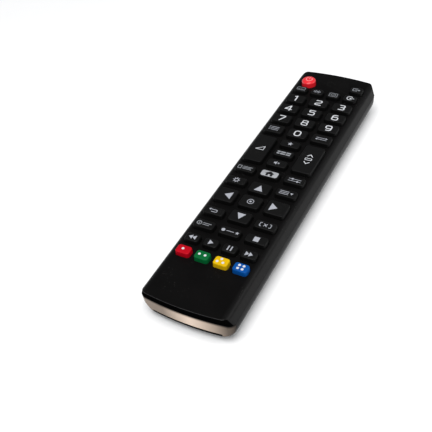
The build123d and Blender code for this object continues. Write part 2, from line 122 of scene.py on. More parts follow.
# The near end's painted reflection (a warm colour blended into the case's base colour, with its gloss)
# and the shoulders' sheen: axis, from and to, in metres, and strengths there
PAINTED_REFLECTION_RAMPS = [
    ("Y", -0.0915, -0.0885, 1.0, 0.0),
    ("X", -0.011, 0.0025, 0.3, 1.0),
    ("X", 0.003, 0.0205, 1.0, 0.14),
    ("Z", 0.0051, 0.0053, 0.0, 1.0),
    ("Z", 0.0121, 0.0134, 1.0, 0.1),
]
# Strength and colour of the warm reflection painted into the near end's base colour
PAINTED_REFLECTION_STRENGTH = 0.85
PAINTED_REFLECTION_COLOUR = (0.8, 0.58, 0.41)
SHEEN = ("X", 0.0184, 0.0204, 0.0, 0.25)

# Shared textures: shares and scales, and ranges of a texture with what they turn into
PIT_SCALE = 0.6
PIT_SHARE = 0.45
HANDLED = (0.38, 0.68, 0.0, 0.75)
STREAK_SCALE = 9.0
STREAKED = (0.45, 0.7, 0.0, 0.25)
SPECKS = (0.05, 0.16, 1.0, 0.0)
DUSTY_SCALE = 130.0
DUSTY = (0.52, 0.66, 0.0, 1.0)
DUST_ROUGHNESS = 0.3
DUST_COLOUR = (0.35, 0.34, 0.32)

# The home key's silver face, in millimetres
PLATE_WIDTH = 8.9
PLATE_LENGTH = 4.1
PLATE_CORNER = 1.05
PLATE_RISE = 0.02
PLATE_SINK = 0.2
PLATE_BEVEL = 0.04

# Key tops in millimetres: width, length, corner radius, edge rounding
FORMS = {
    "digit": (10.3, 6.6, 1.25, 0.42),
    "text": (10.3, 5.0, 1.15, 0.42),
    "vertical": (10.3, 7.3, 1.25, 0.42),
    "arrow": (10.3, 9.2, 1.25, 0.42),
    "ok": (10.3, 8.0, 1.25, 0.42),
    "small": (6.95, 4.85, 1.2, 0.55),
    "rocker": (10.3, 21.6, 1.35, 0.45),
    "round": (7.8, 7.8, 3.899, 1.0),
}

# The infrared light, and a cell's outline as (radius, distance from that end), in millimetres
LIGHT_COLLAR = 0.4
COLLAR_EDGE = 0.9
COLLAR_LENGTH = 1.0
LIGHT_LENGTH = 8.0
LIGHT_DOME = 2.3
DOME_SWEEP = 88.0
LEAD_OFFSET = 1.27
LEAD_HALF = 0.25
CELL_FLAT_END = [(4.2, 0.0), (4.75, 0.05), (5.1, 0.3), (5.25, 0.6), (5.25, 1.2)]
CELL_NUB_END = [(5.25, 2.2), (5.2, 1.7), (4.9, 1.35), (4.5, 1.2), (3.1, 1.05), (2.0, 1.0), (1.9, 0.85),
                (1.9, 0.15), (1.75, 0.0)]
SLEEVE_FROM = 0.7
SLEEVE_TO = 1.9

# Distances at which vertices are one, in metres, and limits for which way a face's normal points
WELD = 1e-6
FINE_WELD = 1e-7
END_TURN = 0.3
NEAR_TURN = 0.5
FLAT_TURN = 0.98
STEEP = 0.2
FACING = 0.9

# Strokes: the share of a side that one corner may take, and the least mitre
CORNER_SHARE = 0.499
MITRE = 0.5

# The studio: floor and camera in metres and degrees, lights as name, place, target, size and watts
FLOOR_HALF = 4.0
LIGHTS = [
    ("overhead", (0.15, -0.45, 1.25), (0.0, 0.0, 0.0), 1.0, 23.5),
    ("far_right", (0.9, 0.5, 0.6), (0.0, 0.0, 0.01), 0.6, 2.6),
]
SKY = (0.95, 0.97, 1.0, 1.0)
SKY_STRENGTH = 0.3
CAMERA_PLACE = (0.1217292, -0.2475761, 0.2510779)
CAMERA_TURN = (46.68451, 5.302826, 27.65146)
CAMERA_SENSOR = 36.0
CAMERA_LENS = 59.29356


# Small helpers


def link(obj):
    """Puts an object into the scene."""
    bpy.context.scene.collection.objects.link(obj)
    return obj


def centre_of(node):
    """The middle of a node's box seen from above, in millimetres."""
    low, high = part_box(node)
    return [(low[i] + high[i]) / 2 / MM for i in range(2)]


def mesh_object(name, bm, material, smooth_angle=None):
    """Turns a bmesh drawn in millimetres into a finished piece in metres."""
    bm.transform(Matrix.Scale(MM, 4))
    mesh = bpy.data.meshes.new(name)
    bm.to_mesh(mesh)
    bm.free()
    mesh.materials.append(material)
    if smooth_angle is not None:
        shade_smooth(mesh, smooth_angle)
    return link(bpy.data.objects.new(name, mesh))


def shade_smooth(mesh, angle):
    """Smooth shading that keeps edges sharper than an angle, in degrees."""
    mesh.polygons.foreach_set("use_smooth", [True] * len(mesh.polygons))
    mesh.set_sharp_from_angle(angle=math.radians(angle))


def applied(obj):
    """The object's evaluated shape as its own plain mesh, with the modifiers gone."""
    depsgraph = bpy.context.evaluated_depsgraph_get()
    plain = bpy.data.meshes.new_from_object(obj.evaluated_get(depsgraph))
    obj.modifiers.clear()
    obj.data = plain
    return obj


# Materials


def shader_group(name, label, value, result):
    """A group with one number in and one out: its tree, both sockets and the object's coordinates."""
    tree = bpy.data.node_groups.new(name, "ShaderNodeTree")
    entry = tree.interface.new_socket(label, in_out="INPUT", socket_type="NodeSocketFloat")
    entry.default_value = value
    tree.interface.new_socket(result, in_out="OUTPUT", socket_type="NodeSocketFloat")
    amount = tree.nodes.new("NodeGroupInput").outputs[0]
    place = tree.nodes.new("ShaderNodeTexCoord").outputs["Object"]
    return tree, amount, tree.nodes.new("NodeGroupOutput").inputs[0], place


def feed(tree, socket, value):
    """Gives a socket its value, or a link from another socket."""
    if isinstance(value, bpy.types.NodeSocket):
        tree.links.new(value, socket)
    else:
        socket.default_value = value


def math_node(tree, operation, first, second):
    """A math node whose inputs are sockets or numbers."""
    node = tree.nodes.new("ShaderNodeMath")
    node.operation = operation
    feed(tree, node.inputs[0], first)
    feed(tree, node.inputs[1], second)
    return node.outputs[0]


def noise_node(tree, coordinates, scale, detail, roughness=0.5):
    """A noise texture on the given coordinates; scale is a socket or a number per metre."""
    node = tree.nodes.new("ShaderNodeTexNoise")
    for label, value in (("Vector", coordinates), ("Scale", scale), ("Detail", detail),
                         ("Roughness", roughness)):
        feed(tree, node.inputs[label], value)
    return node.outputs["Fac"]


def spread(tree, value, low, high, to_low, to_high):
    """Maps a range of a value onto another, with both ends held."""
    node = tree.nodes.new("ShaderNodeMapRange")
    tree.links.new(value, node.inputs["Value"])
    for label, number in zip(("From Min", "From Max", "To Min", "To Max"), (low, high, to_low, to_high)):
        node.inputs[label].default_value = number
    return node.outputs["Result"]


def voronoi_node(tree, coordinates, scale):
    """Distances to scattered points; scale is a socket."""
    node = tree.nodes.new("ShaderNodeTexVoronoi")
    tree.links.new(coordinates, node.inputs["Vector"])
    tree.links.new(scale, node.inputs["Scale"])
    return node.outputs["Distance"]


def build_moulded_grain():
    """The spark-eroded grain of moulded plastic and rubber, as a height."""
    tree, scale, height, place = shader_group("moulded_grain", "Grain per metre", 4000.0, "Height")
    fine = noise_node(tree, place, scale, detail=4.0, roughness=0.62)
    pits = voronoi_node(tree, place, math_node(tree, "MULTIPLY", scale, PIT_SCALE))
    shallow = math_node(tree, "MULTIPLY", pits, PIT_SHARE)
    tree.links.new(math_node(tree, "ADD", fine, shallow), height)
    return tree


def build_handling():
    """Where hands have polished or smeared a surface, from 0 to 1."""
    tree, scale, mask, place = shader_group("handling_marks", "Patches per metre", 55.0, "Mask")
    broad = noise_node(tree, place, scale, detail=3.0)
    streaks = noise_node(tree, place, math_node(tree, "MULTIPLY", scale, STREAK_SCALE), detail=2.0)
    both = math_node(tree, "ADD", spread(tree, broad, *HANDLED), spread(tree, streaks, *STREAKED))
    tree.links.new(both, mask)
    return tree


def build_dust():
    """Fine dust specks, as a mask that is nearly all 0."""
    tree, scale, mask, place = shader_group("dust_specks", "Specks per metre", 900.0, "Mask")
    specks = spread(tree, voronoi_node(tree, place, scale), *SPECKS)
    patches = spread(tree, noise_node(tree, place, DUSTY_SCALE, detail=2.0), *DUSTY)
    tree.links.new(math_node(tree, "MULTIPLY", specks, patches), mask)
    return tree


GRAIN = build_moulded_grain()
HANDLING = build_handling()
DUST = build_dust()


def use_group(tree, group, value):
    """Places a shader group in a material with its one value and gives its output."""
    node = tree.nodes.new("ShaderNodeGroup")
    node.node_tree = group
    node.inputs[0].default_value = value
    return node.outputs[0]


def blend_colours(tree, mask, first, second):
    """A colour that goes from the first to the second with a mask."""
    node = tree.nodes.new("ShaderNodeMix")
    node.data_type = "RGBA"
    tree.links.new(mask, node.inputs["Factor"])
    for label, value in (("A", first), ("B", second)):
        feed(tree, node.inputs[label], (*value, 1.0) if isinstance(value, tuple) else value)
    return node.outputs["Result"]


def finish(name, colour, worn, roughness, polished, grain=4000.0, depth=0.00001, patches=55.0,
           dust=0.0, specks=900.0, metallic=0.0, coat=0.0, coat_roughness=0.1, specular=0.5,
           coat_ior=1.5):
    """A procedural finish: grain in the normal, handling in colour and roughness, and dust."""
    material = bpy.data.materials.new(name)
    material.use_nodes = True
    tree = material.node_tree
    shader = tree.nodes["Principled BSDF"]
    for label, value in (("Metallic", metallic), ("Specular IOR Level", specular), ("Coat Weight", coat),
                         ("Coat Roughness", coat_roughness), ("Coat IOR", coat_ior)):
        shader.inputs[label].default_value = value
    handled = use_group(tree, HANDLING, patches)
    base = blend_colours(tree, handled, colour, worn)
    rough = spread(tree, handled, 0.0, 1.0, roughness, polished)
    if dust > 0:
        mask = math_node(tree, "MULTIPLY", use_group(tree, DUST, specks), dust)
        base = blend_colours(tree, mask, base, DUST_COLOUR)
        rough = math_node(tree, "ADD", rough, math_node(tree, "MULTIPLY", mask, DUST_ROUGHNESS))
    tree.links.new(base, shader.inputs["Base Color"])
    tree.links.new(rough, shader.inputs["Roughness"])
    bump = tree.nodes.new("ShaderNodeBump")
    bump.inputs["Strength"].default_value = 1.0
    bump.inputs["Distance"].default_value = depth
    tree.links.new(use_group(tree, GRAIN, grain), bump.inputs["Height"])
    tree.links.new(bump.outputs["Normal"], shader.inputs["Normal"])
    return material


COVER = finish("cover_plastic", (0.0031, 0.003, 0.003), (0.0042, 0.0039, 0.0039), 0.44, 0.36,
               grain=5200.0, depth=0.000012, dust=0.15, specular=0.02, coat_roughness=0.36)
# Painted shade: a darker finish with no specular for the cover's near end wall
COVER_END_PAINTED_SHADE = finish("cover_end_wall_painted_shade", (0.0012, 0.0012, 0.0013), (0.0018, 0.0017, 0.0017), 0.5, 0.44,
                   grain=5200.0, depth=0.000012, specular=0.0)
# Painted highlight: a lighter finish along the cover's crisp top edge at both ends
COVER_EDGE_PAINTED_HIGHLIGHT = finish("cover_edge_painted_highlight", (0.034, 0.033, 0.033), (0.02, 0.02, 0.02), 0.4, 0.34,
                    grain=5200.0, depth=0.000006, specular=0.2)
CASE = finish("case_gloss", (0.0035, 0.0035, 0.004), (0.005, 0.0048, 0.0047), 0.14, 0.22, grain=900.0,
              depth=0.000001, patches=70.0, dust=0.1, specular=0.01, coat_roughness=0.05,
              coat_ior=2.4)
CASE_INSIDE = finish("case_inside", (0.0035, 0.0035, 0.0036), (0.005, 0.0049, 0.0048), 0.6, 0.52,
                     grain=4200.0, depth=0.00001, specular=0.15)
KEY = finish("key_rubber", (0.0019, 0.0019, 0.0019), (0.0031, 0.003, 0.0029), 0.56, 0.46,
             grain=6500.0, depth=0.000014, patches=160.0, dust=0.2, specks=1300.0, specular=0.12)
SILVER = finish("key_silver", (0.38, 0.39, 0.41), (0.33, 0.34, 0.355), 0.36, 0.44, grain=7000.0,
                depth=0.000006, patches=220.0, metallic=0.2, coat=0.2, coat_roughness=0.2)
POWER = finish("key_power_red", (0.72, 0.012, 0.022), (0.64, 0.01, 0.018), 0.3, 0.38, grain=5000.0,
               depth=0.000004, patches=240.0, coat=0.4, coat_roughness=0.12)


def colour_rubber(name, colour, worn):
    """The matt rubber of a coloured key."""
    return finish(name, colour, worn, 0.46, 0.52, grain=6500.0, depth=0.000008, patches=240.0,
                  specular=0.08)


def ink_finish(name, colour, worn, roughness=0.55, polished=0.45, specular=0.5):
    """Screen-printed ink."""
    return finish(name, colour, worn, roughness, polished, grain=9000.0, depth=0.000004,
                  patches=900.0, specular=specular)


RED = colour_rubber("key_red", (0.4, 0.0012, 0.009), (0.35, 0.001, 0.0075))
GREEN = colour_rubber("key_green", (0.001, 0.106, 0.026), (0.001, 0.09, 0.022))
YELLOW = colour_rubber("key_yellow", (0.6, 0.375, 0.001), (0.54, 0.325, 0.001))
BLUE = colour_rubber("key_blue", (0.001, 0.063, 0.27), (0.001, 0.055, 0.24))
PRINT_WHITE = ink_finish("print_white", (0.56, 0.575, 0.6), (0.5, 0.51, 0.53))
PRINT_SOFT = ink_finish("print_soft", (0.33, 0.34, 0.375), (0.28, 0.29, 0.32))
PRINT_GREY = ink_finish("print_grey", (0.25, 0.26, 0.28), (0.2, 0.21, 0.225))
PRINT_DARK = ink_finish("print_dark", (0.008, 0.008, 0.009), (0.011, 0.011, 0.012), 0.5, 0.42, 0.1)
PRINT_PINK = ink_finish("print_pink", (0.8, 0.42, 0.42), (0.72, 0.34, 0.35), 0.45, 0.4)
LENS = finish("lens_epoxy", (0.05, 0.035, 0.075), (0.06, 0.04, 0.08), 0.06, 0.1, grain=600.0,
              depth=0.000001, coat=1.0, coat_roughness=0.03)
MAT = finish("mat_silicone", (0.3, 0.31, 0.32), (0.26, 0.27, 0.28), 0.6, 0.5, grain=3500.0,
             depth=0.00001)
BOARD = finish("board_mask", (0.03, 0.17, 0.07), (0.045, 0.2, 0.09), 0.38, 0.3, grain=2600.0,
               depth=0.000008, patches=160.0)
CARBON = finish("carbon_pads", (0.012, 0.012, 0.012), (0.018, 0.018, 0.018), 0.6, 0.5)
CHIP = finish("chip_epoxy", (0.014, 0.014, 0.014), (0.02, 0.02, 0.02), 0.55, 0.48, grain=3800.0)
RESONATOR = finish("resonator_dip", (0.5, 0.21, 0.03), (0.42, 0.17, 0.02), 0.3, 0.4, grain=1500.0)
CAPACITOR = finish("capacitor_sleeve", (0.02, 0.03, 0.07), (0.03, 0.04, 0.08), 0.3, 0.38)
NICKEL = finish("contact_nickel", (0.68, 0.65, 0.58), (0.6, 0.57, 0.5), 0.26, 0.36, grain=2400.0,
                depth=0.000006, patches=260.0, metallic=1.0)
SLEEVE = finish("cell_sleeve", (0.1, 0.12, 0.13), (0.12, 0.14, 0.15), 0.28, 0.36, grain=1200.0,
                depth=0.000003, patches=90.0, metallic=0.3, coat=0.5)


def object_axes(tree):
    """The object's own X, Y and Z, in metres."""
    place = tree.nodes.new("ShaderNodeTexCoord").outputs["Object"]
    axes = tree.nodes.new("ShaderNodeSeparateXYZ")
    tree.links.new(place, axes.inputs["Vector"])
    return axes.outputs


def paint_near_end_reflection(material):
    """High gloss on the near end, and a warm reflection painted into its base colour, fading to both
    corners, dimmer towards the seam and gone below the lip.
    """
    tree = material.node_tree
    shader = tree.nodes["Principled BSDF"]
    axes = object_axes(tree)
    mask = 1.0
    for axis, *limits in PAINTED_REFLECTION_RAMPS:
        mask = math_node(tree, "MULTIPLY", spread(tree, axes[axis], *limits), mask)
    tree.links.new(mask, shader.inputs["Coat Weight"])
    base = shader.inputs["Base Color"].links[0].from_socket
    # The warm colour is a painted reflection, blended into the base colour by the mask
    painted_reflection = math_node(tree, "MULTIPLY", mask, PAINTED_REFLECTION_STRENGTH)
    tree.links.new(blend_colours(tree, painted_reflection, base, PAINTED_REFLECTION_COLOUR), shader.inputs["Base Color"])


def polish_shoulders(material):
    """A faint sheen where hands rub the cover's shoulders and slopes."""
    tree = material.node_tree
    axis, *limits = SHEEN
    mask = spread(tree, math_node(tree, "ABSOLUTE", object_axes(tree)[axis], 0.0), *limits)
    tree.links.new(mask, tree.nodes["Principled BSDF"].inputs["Coat Weight"])


# The case's near end gets a painted warm reflection in its base colour
paint_near_end_reflection(CASE)
polish_shoulders(COVER)


# Shape helpers, in millimetres


def turned(points, degrees):
    """Points turned about the middle."""
    angle = math.radians(degrees)
    return [(x * math.cos(angle) - y * math.sin(angle), x * math.sin(angle) + y * math.cos(angle))
            for x, y in points]


def arc(radius, start, step, count, x=0.0, y=0.0):
    """Points of a circle, each some degrees on from the last."""
    points = [turned([(radius, 0)], start + step * i)[0] for i in range(count)]
    return [(x + a, y + b) for a, b in points]


def rounded_outline(half_x, half_y, radius, steps=7):
    """Points anticlockwise round a rectangle with rounded corners."""
    x, y = half_x - radius, half_y - radius
    points = []
    for corner_x, corner_y, start in ((x, y, 0), (-x, y, 90), (-x, -y, 180), (x, -y, 270)):
        points += arc(radius, start, 90 / steps, steps + 1, corner_x, corner_y)
    return points


def loft(bm, rings):
    """Closed skin through rings of as many points each, from the lowest up."""
    rows = [[bm.verts.new(point) for point in ring] for ring in rings]
    count = len(rows[0])
    for low, high in zip(rows, rows[1:]):
        for i in range(count):
            j = (i + 1) % count
            bm.faces.new((low[i], low[j], high[j], high[i]))
    bm.faces.new(tuple(reversed(rows[0])))
    bm.faces.new(tuple(rows[-1]))


def lathe(bm, profile, steps=48):
    """A solid of revolution about the y axis through (radius, y) points, from low y up."""
    rings = []
    for radius, y in profile:
        ring = []
        for step in range(steps):
            angle = -2 * math.pi * step / steps
            ring.append((radius * math.cos(angle), y, radius * math.sin(angle)))
        rings.append(ring)
    loft(bm, rings)


def box_into(bm, low, high):
    """Adds a plain closed box between two corners."""
    points = [(x, y, z) for z in (low[2], high[2]) for x, y in (
        (low[0], low[1]), (high[0], low[1]), (high[0], high[1]), (low[0], high[1]))]
    loft(bm, [points[:4], points[4:]])


def trim(piece, cutter, operation):
    """Cuts a piece with another one, which goes away."""
    cut = piece.modifiers.new("trim", "BOOLEAN")
    cut.operation = operation
    cut.solver = "EXACT"
    cut.object = cutter
    applied(piece)
    bpy.data.objects.remove(cutter)


def stand_in(piece, node, body):
    """Puts a piece in place of a node's plain solid."""
    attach(piece, body)
    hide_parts(node)


# The cover


def shoulder_half_width(height):
    """Half-width of the cover's round shoulder at a height, above where it leaves the slope."""
    tangent = SHOULDER_RADIUS * math.tan((math.pi / 2 - SLOPE_ANGLE) / 2)
    centre = TOP_HALF_WIDTH - tangent
    rise = height - (COVER_TOP - SHOULDER_RADIUS)
    return centre + math.sqrt(max(SHOULDER_RADIUS**2 - rise**2, 0.0))


def bowed_quarter(half_width, half_length, corner):
    """A quarter of the remote's outline: straight side, round corner and bowed end."""
    bow = half_length - BOW_RADIUS
    corner_x = half_width - corner
    corner_y = bow + math.sqrt((BOW_RADIUS - corner) ** 2 - corner_x**2)
    swing = math.degrees(math.atan2(corner_y - bow, corner_x))
    turn, rest = swing / OUTLINE_STEPS, (90 - swing) / OUTLINE_STEPS
    quarter = [(half_width, corner_y * step / OUTLINE_STEPS) for step in range(OUTLINE_STEPS)]
    quarter += arc(corner, 0, turn, OUTLINE_STEPS + 1, corner_x, corner_y)
    return quarter + arc(BOW_RADIUS, swing + rest, rest, OUTLINE_STEPS, 0.0, bow)


def full_ring(far_quarter, near_quarter, height):
    """A ring from the outline's far and near quarters."""
    far = far_quarter + [(-x, y) for x, y in reversed(far_quarter[:-1])]
    near = near_quarter + [(-x, y) for x, y in reversed(near_quarter[:-1])]
    return [(x, y, height) for x, y in far + [(-x, -y) for x, y in near[1:-1]]]


def cover_ring(height):
    """The cover's outline at a height: bowed ends, round corners and sloping sides."""
    share = (COVER_TOP - height) / (COVER_TOP - PARTING)
    half_width = TOP_HALF_WIDTH + SIDE_SPREAD * share
    half_length = TOP_HALF_LENGTH - END_DRAW_IN * share
    above = height - (COVER_TOP - CRISP_EDGE)
    if above > 0:
        half_length -= CRISP_EDGE - math.sqrt(CRISP_EDGE**2 - above**2)
    quarter = bowed_quarter(half_width, half_length, CORNER_RADIUS)
    if height > SHOULDER_START:
        limit = shoulder_half_width(height)
        quarter = [(min(x, limit), y) for x, y in quarter]
    return full_ring(quarter, quarter, height)


def cover_shell():
    """The cover's skin: outside, rim, inner walls and ceiling, with no openings yet."""
    slope_steps, shoulder_steps = 4, 12
    slope = SHOULDER_START - PARTING
    heights = [PARTING + slope * step / slope_steps for step in range(slope_steps + 1)]
    for step in range(1, shoulder_steps + 1):
        angle = SLOPE_ANGLE + (math.pi / 2 - SLOPE_ANGLE) * step / shoulder_steps
        heights.append(COVER_TOP - SHOULDER_RADIUS + SHOULDER_RADIUS * math.sin(angle))
    heights.append(COVER_TOP - CRISP_EDGE)
    outside = [cover_ring(height) for height in sorted(heights)]
    inside = []
    for height in (CEILING, PARTING):
        ring = []
        for x, y, z in cover_ring(height):
            limit_x = TOP_HALF_WIDTH + SIDE_SPREAD * (COVER_TOP - height) / (COVER_TOP - PARTING) - WALL
            shrink = (TOP_HALF_LENGTH - END_WALL) / TOP_HALF_LENGTH
            ring.append((max(-limit_x, min(limit_x, x)), y * shrink, z))
        inside.append(ring)
    bm = bmesh.new()
    loft(bm, inside + outside)
    bmesh.ops.recalc_face_normals(bm, faces=bm.faces)
    return bm


def make_cover(keys):
    """The cover with a rounded opening for every key, its edges just broken."""
    cover = mesh_object("cover_shell", cover_shell(), COVER)
    bm = bmesh.new()
    for node, form in keys:
        width, length, corner, _ = FORMS[form]
        growth = (top_of(form) - CEILING) * KEY_DRAFT + OPENING_GAP
        x, y = centre_of(node)
        radius = min(corner + growth, width / 2 + growth - SPARE)
        outline = rounded_outline(width / 2 + growth, length / 2 + growth, radius)
        heights = (CEILING - CUT_MARGIN, COVER_TOP + CUT_MARGIN)
        loft(bm, [[(x + a, y + b, z) for a, b in outline] for z in heights])
    trim(cover, mesh_object("openings", bm, COVER), "DIFFERENCE")
    soften_openings(cover.data)
    cover.data.materials.append(COVER_END_PAINTED_SHADE)
    cover.data.materials.append(COVER_EDGE_PAINTED_HIGHLIGHT)
    edge_low = (COVER_TOP - CRISP_EDGE) * MM
    # The darker finish on the near end wall is painted shade
    for face in cover.data.polygons:
        turn = abs(face.normal.y)
        if not near_an_end(face.center) or turn < END_TURN:
            continue
        # The crisp top edge at both ends takes the lighter finish, a painted highlight
        if face.center.z > edge_low and turn < FLAT_TURN:
            face.material_index = 2
        elif face.normal.y < -NEAR_TURN:
            face.material_index = 1
    shade_smooth(cover.data, angle=32)
    stand_in(cover, "upper_cover", "case")


def near_an_end(place):
    """Whether a place, in metres, is beyond all openings."""
    return abs(place.y) >= (TOP_HALF_LENGTH - END_ZONE) * MM


def soften_openings(mesh):
    """Breaks the upper edges of the openings."""
    bm = bmesh.new()
    bm.from_mesh(mesh)
    bmesh.ops.remove_doubles(bm, verts=bm.verts, dist=FINE_WELD)
    top = COVER_TOP * MM
    edges = []
    for edge in bm.edges:
        if all(abs(vert.co.z - top) < WELD for vert in edge.verts) and len(edge.link_faces) == 2:
            steep = [face for face in edge.link_faces if abs(face.normal.z) < STEEP]
            if len(steep) == 1 and not near_an_end((edge.verts[0].co + edge.verts[1].co) / 2):
                edges.append(edge)
    bmesh.ops.bevel(bm, geom=edges, offset=OPENING_BEVEL * MM, offset_type="OFFSET", segments=2,
                    profile=0.5, affect="EDGES", clamp_overlap=True)
    bm.to_mesh(mesh)
    bm.free()


# Keys


def top_of(form):
    """The height of a key's top."""
    return POWER_TOP if form == "round" else KEY_TOP


def key_rings(form, top):
    """The rings of a key from its pill up to its top, about its own middle."""
    width, length, corner, edge = FORMS[form]
    half_x, half_y = width / 2, length / 2

    def ring(grow, height, radius=None):
        """One ring of the key, grown outwards."""
        radius = min(corner + grow if radius is None else radius, half_x + grow - SPARE)
        outline = rounded_outline(half_x + grow, half_y + grow, radius)
        return [(x, y, height) for x, y in outline]

    side = (top - FLANGE_TOP) * KEY_DRAFT
    if form == "rocker":
        rings = [ring((top - FLANGE_LOW) * KEY_DRAFT, FLANGE_LOW)]
    else:
        pill = rounded_outline(PILL_HALF, PILL_HALF, PILL_CORNER)
        flange_radius = FLANGE_CORNER if form != "round" else half_x + side + FLANGE - SPARE
        rings = [[(x, y, height) for x, y in pill] for height in (PILL_LOW, FLANGE_LOW)]
        rings += [ring(side + FLANGE, height, flange_radius) for height in (FLANGE_LOW, FLANGE_TOP)]
        rings.append(ring(side, FLANGE_TOP))
    rings.append(ring((top - COVER_TOP) * KEY_DRAFT, COVER_TOP))
    edge_steps = 5
    for step in range(edge_steps + 1):
        angle = math.radians(90 * step / edge_steps)
        inset = edge * (1 - math.cos(angle))
        height = top - edge + edge * math.sin(angle)
        rings.append(ring(edge * KEY_DRAFT - inset, height))
    return rings


def make_key(node, form, material):
    """One key, rounded as moulded, in place of its plain solid."""
    top = top_of(form)
    x, y = centre_of(node)
    bm = bmesh.new()
    loft(bm, [[(x + a, y + b, z) for a, b, z in ring] for ring in key_rings(form, top)])
    if form == "rocker":
        for side in (-1, 1):
            middle = y + ROCKER_PILL_OFFSET * side
            box_into(bm, (x - PILL_HALF, middle - PILL_HALF, ROCKER_PILL_LOW),
                     (x + PILL_HALF, middle + PILL_HALF, FLANGE_LOW + OVERLAP))
            inner = FORMS[form][0] / 2
            ear = inner + (top - FLANGE_TOP) * KEY_DRAFT + FLANGE
            low, high = sorted((x + inner * side, x + ear * side))
            box_into(bm, (low, y - ROCKER_EAR_HALF, FLANGE_LOW), (high, y + ROCKER_EAR_HALF, FLANGE_TOP))
    stand_in(mesh_object(node + "_cap", bm, material, smooth_angle=40), node, node)


# Printed marks: each is a list of flat outlines, in millimetres about the key's middle


def disc(x, y, radius, steps=28):
    """A filled round mark."""
    return fill(*arc(radius, 0, 360 / steps, steps, x, y))


def star(reach, x=0.0):
    """A five-pointed star."""
    points = [turned([(0, reach[i % 2])], 36 * i)[0] for i in range(10)]
    return fill(*[(x + a, b) for a, b in points])


def crossing(reach, width, x=0.0):
    """Two lines that cross."""
    return (stroke([(x - reach, -reach), (x + reach, reach)], width)
            + stroke([(x - reach, reach), (x + reach, -reach)], width))


def fill(*points):
    """A filled outline."""
    return [("fill", list(points))]


def bar(x_low, y_low, x_high, y_high):
    """A filled upright rectangle."""
    return fill((x_low, y_low), (x_high, y_low), (x_high, y_high), (x_low, y_high))


def rounded_path(points, radius, closed=False, steps=6):
    """A path whose corners are arcs."""
    count = len(points)
    result = []
    for i, point in enumerate(points):
        if not closed and i in (0, count - 1):
            result.append(point)
            continue
        here = Vector(point)
        before = Vector(points[i - 1]) - here
        after = Vector(points[(i + 1) % count]) - here
        reach = min(radius, before.length * CORNER_SHARE, after.length * CORNER_SHARE)
        start = here + before.normalized() * reach
        end = here + after.normalized() * reach
        for step in range(steps + 1):
            t = step / steps
            spot = start * (1 - t) ** 2 + here * 2 * t * (1 - t) + end * t**2
            result.append((spot.x, spot.y))
    return result


def stroke(points, width, radius=0.0, closed=False):
    """A line of even width along a path, with its corners rounded."""
    path = rounded_path(points, radius, closed) if radius else list(points)
    count = len(path)
    left, right = [], []
    for i in range(count):
        here = Vector(path[i])
        first = (here - Vector(path[i - 1])).normalized()
        second = (Vector(path[(i + 1) % count]) - here).normalized()
        if not closed and i == 0:
            first = second
        if not closed and i == count - 1:
            second = first
        along = (first + second).normalized()
        across = Vector((-along.y, along.x))
        reach = width / 2 / max(across.dot(Vector((-first.y, first.x))), MITRE)
        left.append(tuple(here + across * reach))
        right.append(tuple(here - across * reach))
    if closed:
        return [("ring", (left, right))]
    return [("fill", right + left[::-1])]


def triangle(x, y, width, height, degrees=0):
    """A triangle that points up, turned by an angle."""
    corners = turned([(-width / 2, -height / 2), (width / 2, -height / 2), (0, height / 2)], degrees)
    return fill(*[(x + a, y + b) for a, b in corners])


def digit_marks():
    """Wide round-cornered digits, from 0 to 9."""
    a, b, w = DIGIT_X, DIGIT_Y, DIGIT_LINE
    zero = stroke([(-a, -b), (a, -b), (a, b), (-a, b)], w, 1.5, True)
    one = fill((0.6, -2.32), (0.6, 2.32), (-0.05, 2.32), (-1.15, 1.75), (-1.15, 1.05), (-0.08, 1.5),
               (-0.08, -2.32))
    two = [(-a, 1.5), (-a + 0.05, b), (a, b), (a, 0.3), (-a, -0.8), (-a, -b), (a + 0.25, -b)]
    two = stroke(two, w, 0.85)
    three = stroke([(-a + 0.1, b), (a - 0.05, b), (a - 0.05, 0.05), (-0.7, 0.05)], w, 0.95)
    three += stroke([(-0.7, 0.05), (a, 0.05), (a, -b), (-a + 0.05, -b)], w, 0.95)
    four = stroke([(2.05, -1.1), (-2.1, -1.1)], 0.6) + stroke([(-1.85, -1.0), (0.75, 2.12)], 0.62)
    four += bar(0.48, -2.32, 1.12, 2.32)
    five = stroke([(a + 0.1, b), (-a + 0.1, b), (-a + 0.1, 0.4)], w, 0.2)
    five += stroke([(-a + 0.1, 0.42), (a, 0.42), (a, -b), (-a - 0.05, -b)], w, 1.0)
    bowl, tail = [(-a, -b), (a, -b), (a, 0.4), (-a, 0.4)], [(a - 0.55, b), (-a, b), (-a, -0.7)]
    six = stroke(bowl, w, 1.1, True) + stroke(tail, w, 1.5)
    seven = stroke([(-a - 0.15, b), (a, b), (a, 1.45), (-0.75, -2.32)], w, 0.3)
    eight = [(-a + 0.15, 0.12), (a - 0.15, 0.12), (a - 0.15, b), (-a + 0.15, b)]
    eight = stroke(eight, 0.56, 0.9, True)
    eight += stroke([(-a, -b), (a, -b), (a, 0.12), (-a, 0.12)], 0.58, 1.0, True)
    nine = stroke(turned(bowl, 180), w, 1.1, True) + stroke(turned(tail, 180), w, 1.5)
    return [zero, one, two, three, four, five, six, seven, eight, nine]


def gear_marks():
    """A cog: eight teeth round a ring."""
    marks = stroke(arc(1.0, 0, 15, 24), 0.36, 0.0, True)
    for tooth in range(8):
        marks += fill(*turned([(1.1, -0.2), (1.85, -0.15), (1.85, 0.15), (1.1, 0.2)], 45 * tooth))
    return marks


def house_marks():
    """A small house."""
    roof = fill((-2.6, 0.1), (2.6, 0.1), (0.0, 1.9))
    walls = bar(-1.8, -1.65, -0.55, 0.15) + bar(0.55, -1.65, 1.8, 0.15)
    return roof + walls + bar(-0.6, -0.4, 0.6, 0.15)


def frame_marks(width, height, line):
    """The outline of a screen."""
    x, y = width / 2, height / 2
    return stroke([(-x, -y), (x, -y), (x, y), (-x, y)], line, 0.45, True)


